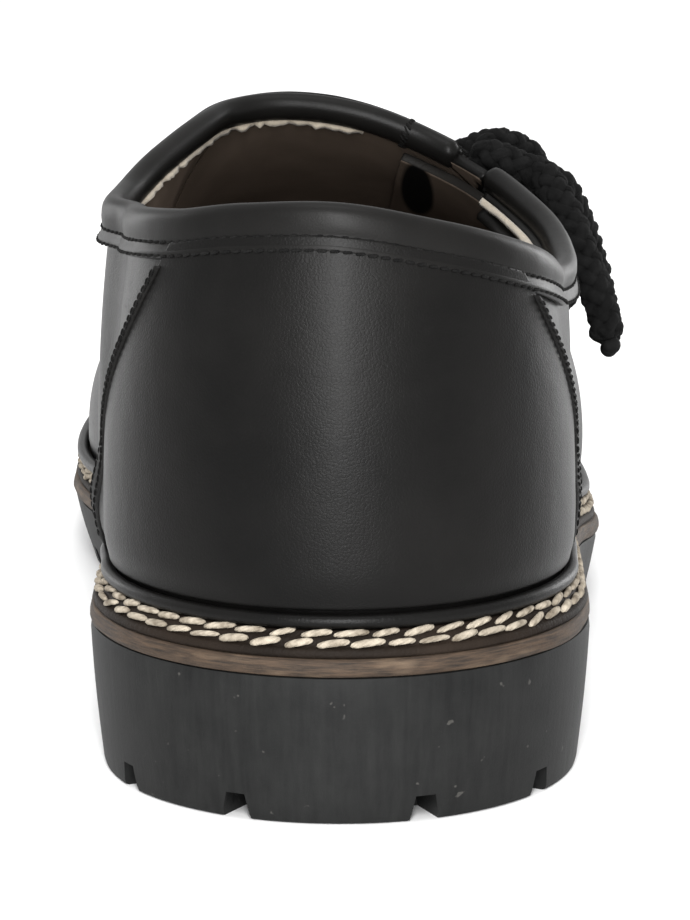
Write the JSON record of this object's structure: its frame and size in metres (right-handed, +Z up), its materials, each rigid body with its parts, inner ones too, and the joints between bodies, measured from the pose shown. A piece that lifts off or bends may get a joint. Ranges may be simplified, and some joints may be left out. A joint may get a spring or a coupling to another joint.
{
  "type": "haferl shoe",
  "caption": "Low black leather country shoe laced at the outer side of the instep, with double-stitched welt, brown midsole and lugged rubber sole with heel.",
  "frame": {"origin": "middle of the shoe's box at floor level, the free lace not counted", "axes": "+Z up, +Y towards the toe, +X towards the foot's outer side"},
  "size_m": [0.1045, 0.298, 0.1011],
  "materials": {
    "rubber": "matte black moulded rubber",
    "midsole_leather": "raw brown cut edge",
    "welt_leather": "dark waxed leather, worn",
    "upper_leather": "smooth black leather, semi-gloss",
    "lining_leather": "dark worn lining leather, matt",
    "tongue_leather": "soft black leather with a raw pale edge",
    "cord": "thick fluffy braided black cord"
  },
  "bodies": {
    "root": {"outsole": "rubber", "midsole": "midsole_leather", "welt": "welt_leather", "storm_rand": "upper_leather", "insole": "lining_leather", "upper": "upper_leather", "counter": "upper_leather", "collar_band": "upper_leather", "lacing_facing": "upper_leather", "tongue": "tongue_leather", "lace_bar_1": "cord", "lace_bar_2": "cord", "lace_bar_3": "cord", "lace_knot": "cord", "lace_end_back": "cord", "lace_end_front": "cord"}
  },
  "joints": []
}
